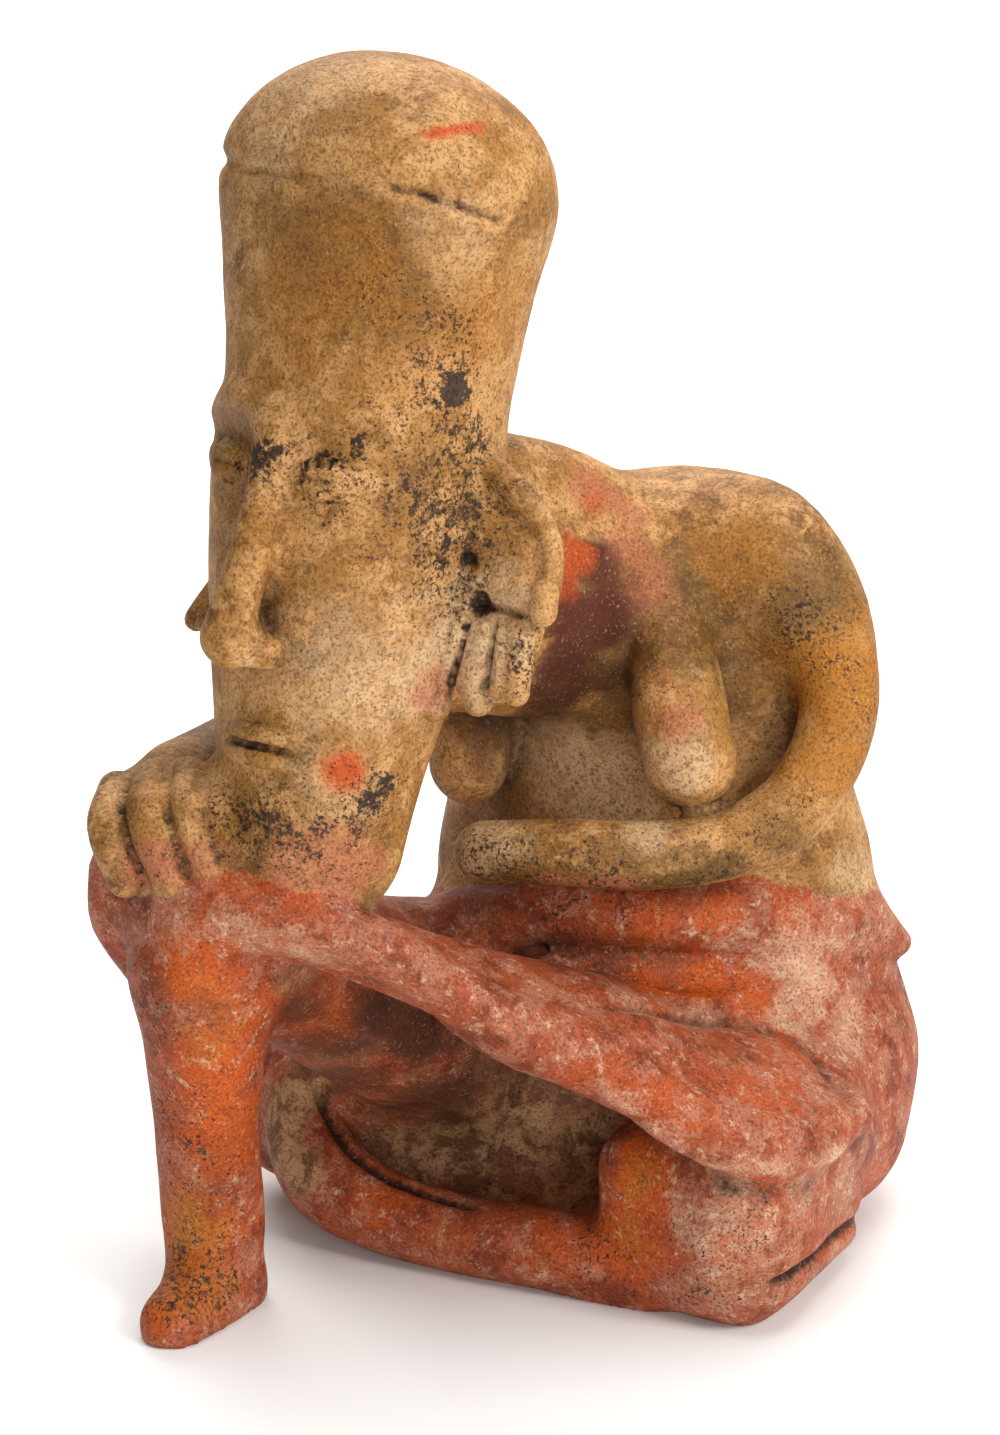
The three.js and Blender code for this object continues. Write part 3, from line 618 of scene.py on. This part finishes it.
def unevenness(p, size, seed):
    # smooth lumps about this many millimetres across, from -1 to 1
    lattice = np.random.default_rng(seed).uniform(-1, 1, (32, 32, 32))
    q = (p + 500) / size
    cell = np.floor(q).astype(int)
    t = q - cell
    t = t * t * (3 - 2 * t)
    found = np.zeros(len(p))
    for corner in range(8):
        o = np.array([corner & 1, corner >> 1 & 1, corner >> 2])
        weight = np.prod(np.where(o == 1, t, 1 - t), axis=1)
        i, j, k = ((cell + o) % 32).T
        found += weight * lattice[i, j, k]
    return found


def lumpy(p, lumps):
    return sum(height * unevenness(p, size, seed) for size, height, seed in lumps)


def read(mesh, what="co"):
    found = np.empty(len(mesh.vertices) * 3)
    if what == "co":
        mesh.vertices.foreach_get("co", found)
    else:
        mesh.vertex_normals.foreach_get("vector", found)
    return found.reshape(-1, 3)


def place(mesh, p):
    mesh.vertices.foreach_set("co", ((p + nodeShift) / 1000).ravel())
    mesh.update()


def applied(piece, kind, **settings):
    modifier = piece.modifiers.new(kind.lower(), kind)
    for name, value in settings.items():
        setattr(modifier, name, value)
    mesh = bpy.data.meshes.new_from_object(piece.evaluated_get(bpy.context.evaluated_depsgraph_get()))
    piece.modifiers.clear()
    piece.data = mesh
    return mesh


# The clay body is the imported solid, cut finer and worked over with the same joints and lofts.
clay = {
    "voxel": 0.0013,
    "voxelWhileTrying": 0.0022,
    "rounds": 3,
    "step": 0.3,
    "furthest": 2.5,
    "triangles": 196000,
    "fadeAboveGround": 3,
    # size across, height, seed
    "lumps": [(26, 0.45, 3), (11, 0.2, 4), (4.5, 0.09, 5)],
    "wander": (5, 0.35, 21),
}


def clayBody():
    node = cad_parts["seated_figure"]
    piece = bpy.data.objects.new("clay_figure", node.data.copy())
    bpy.context.collection.objects.link(piece)
    loose = bmesh.new()
    loose.from_mesh(piece.data)
    bmesh.ops.remove_doubles(loose, verts=loose.verts, dist=1e-6)
    loose.to_mesh(piece.data)
    loose.free()
    voxel = clay["voxel"]
    mesh = applied(piece, "REMESH", mode="VOXEL", voxel_size=voxel)
    print("clay cut finer", len(mesh.vertices))
    p = read(mesh) * 1000 - nodeShift
    step = clay["step"]
    for _ in range(clay["rounds"]):
        here = figure(p)
        slope = np.stack([figure(p + step * np.eye(3)[n]) - here for n in range(3)], 1) / step
        move = -(here / np.maximum((slope ** 2).sum(1), 0.4))[:, None] * slope
        far = np.linalg.norm(move, axis=1, keepdims=True)
        p = p + move * np.minimum(1, clay["furthest"] / np.maximum(far, 1e-6))
        p[:, 2] = np.maximum(p[:, 2], 0)
    place(mesh, p)
    normals = read(mesh, "normal")
    out = lumpy(p, clay["lumps"])
    wander = 1 + lumpy(p, [clay["wander"]])
    for mark in toolMarks:
        out = out + mark["out"] * wander * np.exp(-(fromLine(p, mark["line"]) / mark["wide"]) ** 2)
    p = p + normals * (out * np.clip(p[:, 2] / clay["fadeAboveGround"], 0, 1))[:, None]
    place(mesh, p)
    mesh = applied(piece, "DECIMATE", ratio=min(1, clay["triangles"] / (2 * len(mesh.polygons))))
    mesh.shade_smooth()
    print("clay worked over", len(mesh.polygons))
    return piece


# How far from the skin each layer looks, in millimetres, and its lumps: size across, height, seed.
layering = {
    "slipEnd": 4,
    "ragged": [(7, 1.6, 11), (2.6, 0.8, 12)],
    "torn": [(8, 0.35, 31), (3.2, 0.2, 32)],
    "waist": 102,
    "crease": 2.5,
    "shade": 12,
    "edge": 3.5,
}


def colourLayers(piece):
    # every layer is a number from 0 to 1 on the skin, which the clay's material reads
    mesh = piece.data
    p = read(mesh) * 1000 - nodeShift
    normals = read(mesh, "normal")
    layers = {}
    below = together(lowerForms, p)
    above = np.minimum(together(upperForms, p), np.minimum(headLoft.reach(p), rightArm(p)))
    above = np.minimum(above, together(handForms, p))
    # on the left side all below the waist is red
    above = above + np.clip((layering["waist"] - p[:, 2]) / 2, 0, 8) * np.clip(p[:, 0] / 30 + 0.5, 0, 1)
    redder = (above - below + lumpy(p, layering["ragged"])) / layering["slipEnd"]
    layers["slip"] = np.clip(redder + 0.5, 0, 1)
    crease, shade, edge = layering["crease"], layering["shade"], layering["edge"]
    # crease and shade are painted shade: they rise where other clay lies close outside the skin, in creases
    # and under overhangs
    inCrease = np.clip(1 - figure(p + crease * normals) / crease, 0, 1)
    layers["shade"] = np.clip(1 - figure(p + shade * normals) / shade, 0, 1)
    layers["edge"] = np.clip(1 + figure(p - edge * normals) / edge - 2 * inCrease, 0, 1)
    # each tool mark lays its painted shade along its groove
    for mark in toolMarks:
        shadeInGroove = mark["paintedShade"] * np.exp(-(fromLine(p, mark["line"]) / mark["wide"]) ** 2)
        inCrease = np.maximum(inCrease, shadeInGroove)
    layers["crease"] = inCrease
    torn = lumpy(p, layering["torn"])
    for name, dabs in colourDabs.items():
        layer = np.zeros(len(p))
        for spot, radius, strength in dabs:
            far = fromLine(p, spot) / radius + torn
            layer = np.maximum(layer, strength * np.clip(1.6 - far * 1.1, 0, 1))
        layers[name] = layer
    for name, layer in layers.items():
        mesh.attributes.new(name, "FLOAT", "POINT").data.foreach_set("value", layer.astype(np.float32))
    print("colour layers", sorted(layers))


def hexColour(text):
    parts = [int(text[i:i + 2], 16) / 255 for i in (0, 2, 4)]
    return [c / 12.92 if c <= 0.04045 else ((c + 0.055) / 1.055) ** 2.4 for c in parts] + [1]


def addNode(tree, kind, inputs=None, **settings):
    node = tree.nodes.new(kind)
    for name, value in settings.items():
        setattr(node, name, value)
    for name, value in (inputs or {}).items():
        if isinstance(value, bpy.types.NodeSocket):
            tree.links.new(value, node.inputs[name])
        else:
            node.inputs[name].default_value = value
    return node


# Earthenware fired low, its buff body rubbed smooth and partly painted with red iron slip: matt, with a faint
# burnish left on the high places, fire clouds, rubbed edges, and painted shade in the creases and hollows.
clayColours = {
    "buff": "c3925a", "tan": "9a6a30", "brown": "6a4519", "olive": "5c3f12", "ochre": "a96a1c",
    "pale": "d0ae84", "slip": "9d4724", "slipDark": "7a3018", "slipBright": "bc500f", "slipHaze": "b3745a",
    "slipPale": "c8987a", "cream": "d4b28e", "washAndShade": "481506", "redPaint": "b84a10", "blush": "ad6444",
    "soot": "1d1510", "paintedShade": "2a190c", "hollowBrown": "b58a60", "hollowBrownDark": "592612", "deepShade": "301508",
    "grain": "4a2a16",
}
# across, in millimetres; the finest, the dust, is drawn coarser than the real grain so that it shows
claySizes = {
    "clouds": 42, "mottle": 14, "haze": 10, "rub": 5.5, "flake": 3.4, "streak": 2.4, "grit": 1.3, "dust": 0.9,
}
clayFinish = {"roughness": (0.45, 0.8), "ior": 1.45, "specular": 0.3, "bump": 0.75, "bumpDepth": 0.001}


def firedClay():
    material = bpy.data.materials.new("fired_clay_slip")
    material.use_nodes = True
    tree = material.node_tree
    shader = tree.nodes["Principled BSDF"]
    where = addNode(tree, "ShaderNodeTexCoord").outputs["Object"]
    colour = {name: hexColour(text) for name, text in clayColours.items()}

    def noise(size, detail=3, roughness=0.55, distortion=0.0):
        return addNode(tree, "ShaderNodeTexNoise", {
            "Vector": where, "Scale": 1000 / claySizes[size], "Detail": detail,
            "Roughness": roughness, "Distortion": distortion}).outputs["Fac"]

    def layer(name):
        return addNode(tree, "ShaderNodeAttribute", attribute_name=name).outputs["Fac"]

    def sums(operation, a, b, clamp=False):
        return addNode(tree, "ShaderNodeMath", {0: a, 1: b}, operation=operation, use_clamp=clamp).outputs[0]

    def between(value, low, high):
        return addNode(tree, "ShaderNodeMapRange", {"Value": value, "From Min": low, "From Max": high},
                       interpolation_type="SMOOTHSTEP").outputs["Result"]

    def mix(factor, a, b):
        return addNode(tree, "ShaderNodeMix", {0: factor, 6: a, 7: b}, data_type="RGBA").outputs[2]

    def patch(name, low, high, strength=1.0):
        # a dabbed layer, broken up by the rubbing
        broken = between(sums("ADD", sums("MULTIPLY", layer(name), 0.7), rub), low, high)
        return sums("MULTIPLY", broken, sums("MULTIPLY", layer(name), strength, True))

    clouds = noise("clouds", 2)
    mottle = noise("mottle", 4, 0.6, 0.3)
    rub = noise("rub", 4, 0.65, 0.5)
    streak = noise("streak", 3, 0.6)
    haze = noise("haze", 7, 0.72, 0.4)
    flake = noise("flake", 5, 0.75)
    grit = noise("grit", 3, 0.7)
    dust = noise("dust", 2, 0.6)
    # the buff body
    mottled = sums("ADD", mottle, sums("MULTIPLY", streak, 0.3))
    buff = mix(between(mottled, 0.55, 0.75), colour["buff"], colour["tan"])
    buff = mix(sums("MULTIPLY", between(clouds, 0.5, 0.62), between(rub, 0.4, 0.62)), buff, colour["brown"])
    # olive patches, partly painted shade below the forearm and under the head
    buff = mix(patch("olive", 0.35, 0.9, 1.2), buff, colour["olive"])
    buff = mix(patch("ochre", 0.5, 1.0), buff, colour["ochre"])
    # pale worn places, and painted light on the front of the left knee and on the cheek
    buff = mix(patch("pale", 0.45, 0.95), buff, colour["pale"])
    buff = mix(sums("MULTIPLY", between(flake, 0.44, 0.62), 0.5), buff, colour["tan"])
    buff = mix(patch("blush", 0.5, 1.0, 0.85), buff, colour["blush"])
    # the neck's red wash, partly painted shade under the head
    buff = mix(patch("washAndShade", 0.5, 1.0, 0.95), buff, colour["washAndShade"])
    buff = mix(patch("redPaint", 0.5, 0.9), buff, colour["redPaint"])
    # the red slip over it, worn through to a pinkish skin and to the buff
    slip = mix(between(mottled, 0.6, 0.78), colour["slip"], colour["slipDark"])
    slip = mix(sums("MULTIPLY", between(clouds, 0.5, 0.62), 0.5), slip, colour["slipBright"])
    slip = mix(patch("bright", 0.45, 0.95), slip, colour["slipBright"])
    slip = mix(patch("ochre", 0.5, 1.0, 0.9), slip, colour["ochre"])
    rubbed = sums("ADD", sums("MULTIPLY", layer("edge"), 0.5), sums("MULTIPLY", layer("pale"), 0.4))
    hazy = sums("ADD", haze, sums("MULTIPLY", rubbed, 0.3))
    hazy = sums("SUBTRACT", hazy, sums("MULTIPLY", layer("bright"), 0.12))
    slip = mix(sums("MULTIPLY", between(hazy, 0.46, 0.6), 0.62), slip, colour["slipHaze"])
    worn = sums("ADD", rubbed, sums("ADD", sums("MULTIPLY", rub, 0.55), sums("MULTIPLY", streak, 0.5)))
    slip = mix(sums("MULTIPLY", between(worn, 0.66, 1.0), 0.8), slip, colour["slipPale"])
    scuffs = between(sums("ADD", flake, sums("MULTIPLY", rubbed, 0.14)), 0.56, 0.63)
    scuffs = sums("MULTIPLY", scuffs, between(haze, 0.42, 0.56))
    slip = mix(sums("MULTIPLY", scuffs, 0.6), slip, colour["cream"])
    skin = mix(between(sums("ADD", layer("slip"), sums("MULTIPLY", streak, 0.5)), 0.55, 0.95), buff, slip)
    skin = mix(sums("MULTIPLY", between(layer("edge"), 0.4, 0.85), 0.45), skin, colour["pale"])
    # painted shade in the creases and under overhangs, painted light and shade in the hollow under the lap,
    # dust in the grain, fire clouds and specks
    creased = sums("MULTIPLY", layer("crease"), sums("ADD", streak, 0.5))
    skin = mix(between(creased, 0.3, 1.0), skin, colour["paintedShade"])
    skin = mix(sums("MULTIPLY", between(layer("shade"), 0.3, 0.95), 0.25), skin, colour["paintedShade"])
    # painted light and shade under the lap: a brown laid over the painted shade, lighter where the wall
    # catches light
    hollowBrown = mix(sums("MULTIPLY", between(haze, 0.42, 0.56), 0.8), colour["hollowBrown"], colour["hollowBrownDark"])
    skin = mix(patch("tan", 0.45, 0.9), skin, hollowBrown)
    # painted shade, darkest where the clay lies in deep shadow
    skin = mix(patch("deepShade", 0.25, 0.7, 0.9), skin, colour["deepShade"])
    skin = mix(sums("MULTIPLY", between(streak, 0.52, 0.7), 0.3), skin, colour["grain"])
    skin = mix(sums("MULTIPLY", between(dust, 0.5, 0.64), 0.55), skin, colour["grain"])
    dusty = between(sums("SUBTRACT", sums("MULTIPLY", rub, 0.4), dust), -0.2, -0.05)
    skin = mix(sums("MULTIPLY", dusty, 0.3), skin, colour["cream"])
    soot = sums("ADD", sums("MULTIPLY", layer("soot"), 0.5), sums("MULTIPLY", streak, 0.8))
    skin = mix(sums("MULTIPLY", between(soot, 0.7, 0.8), 0.9), skin, colour["soot"])
    specks = sums("ADD", grit, sums("MULTIPLY", layer("freckle"), 0.13))
    specks = between(sums("ADD", specks, sums("MULTIPLY", rub, 0.25)), 0.79, 0.81)
    skin = mix(sums("MULTIPLY", specks, 0.85), skin, colour["soot"])
    flakes = between(sums("ADD", flake, sums("MULTIPLY", layer("freckle"), 0.185)), 0.72, 0.745)
    skin = mix(sums("MULTIPLY", flakes, 0.8), skin, colour["soot"])
    tree.links.new(skin, shader.inputs["Base Color"])
    glossiest, dullest = clayFinish["roughness"]
    dull = addNode(tree, "ShaderNodeMapRange", {"Value": rub, "To Min": glossiest, "To Max": dullest})
    tree.links.new(dull.outputs["Result"], shader.inputs["Roughness"])
    shader.inputs["IOR"].default_value = clayFinish["ior"]
    shader.inputs["Specular IOR Level"].default_value = clayFinish["specular"]
    height = sums("ADD", sums("MULTIPLY", grit, 0.4), sums("ADD", sums("MULTIPLY", streak, 0.5), rub))
    bump = addNode(tree, "ShaderNodeBump", {
        "Height": height, "Strength": clayFinish["bump"], "Distance": clayFinish["bumpDepth"]})
    tree.links.new(bump.outputs["Normal"], shader.inputs["Normal"])
    return material


# A soft key from the upper right front, a wide fill from low in front, a large light above, and one on the
# paper far behind. Metres and watts.
lamps = {
    "key": {"at": (1.2, -0.9, 1.1), "size": 0.7, "power": 20},
    "fill": {"at": (0.35, -1.7, 0.45), "size": 0.9, "power": 11.5},
    "top": {"at": (0.1, 0.0, 1.7), "size": 1.2, "power": 17},
    "paper": {"at": (0, 3.6, 2.4), "size": 4, "power": 260, "towards": (0, 3.6, 0)},
}
room = {"floor": 6, "lampsAim": (0, 0, 0.17), "paper": "f6f5f3", "air": "fbfaf8", "airStrength": 0.2}


def studio():
    sweep = bmesh.new()
    bmesh.ops.create_grid(sweep, x_segments=1, y_segments=1, size=room["floor"])
    mesh = bpy.data.meshes.new("floor")
    sweep.to_mesh(mesh)
    sweep.free()
    floor = bpy.data.objects.new("floor", mesh)
    bpy.context.collection.objects.link(floor)
    paper = bpy.data.materials.new("white_paper")
    paper.use_nodes = True
    sheet = paper.node_tree.nodes["Principled BSDF"]
    sheet.inputs["Base Color"].default_value = hexColour(room["paper"])
    sheet.inputs["Roughness"].default_value = 0.9
    mesh.materials.append(paper)
    for name, lamp in lamps.items():
        light = bpy.data.lights.new(name, "AREA")
        light.energy = lamp["power"]
        light.size = lamp["size"]
        stand = bpy.data.objects.new(name, light)
        stand.location = lamp["at"]
        towards = Vector(lamp.get("towards", room["lampsAim"])) - Vector(lamp["at"])
        stand.rotation_euler = towards.to_track_quat("-Z", "Y").to_euler()
        bpy.context.collection.objects.link(stand)
    world = bpy.data.worlds.new("studio")
    world.use_nodes = True
    air = world.node_tree.nodes["Background"]
    air.inputs["Color"].default_value = hexColour(room["air"])
    air.inputs["Strength"].default_value = room["airStrength"]
    bpy.context.scene.world = world
    bpy.context.scene.view_settings.view_transform = "Standard"


# The photograph looks down a little on the figure. The frame is this high at the aim.
view = {"aim": (-0.00516, -0.00171, 0.162), "distance": 1.4, "elevation": 20, "frameHeight": 0.4305,
        "film": 36, "nearest": 0.05}


def photographView():
    camera = bpy.data.objects.new("camera", bpy.data.cameras.new("camera"))
    tilt = math.radians(view["elevation"])
    away = Vector((0, -math.cos(tilt), math.sin(tilt))) * view["distance"]
    camera.location = Vector(view["aim"]) + away
    camera.rotation_euler = (math.pi / 2 - tilt, 0, 0)
    camera.data.sensor_width = view["film"]
    camera.data.lens = view["film"] * view["distance"] / view["frameHeight"]
    camera.data.clip_start = view["nearest"]
    bpy.context.collection.objects.link(camera)
    bpy.context.scene.camera = camera


figurine = clayBody()
colourLayers(figurine)
figurine.data.materials.clear()
figurine.data.materials.append(firedClay())
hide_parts("seated_figure")
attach(figurine, "root")
print("clay coloured")
studio()
photographView()
print("stage set")
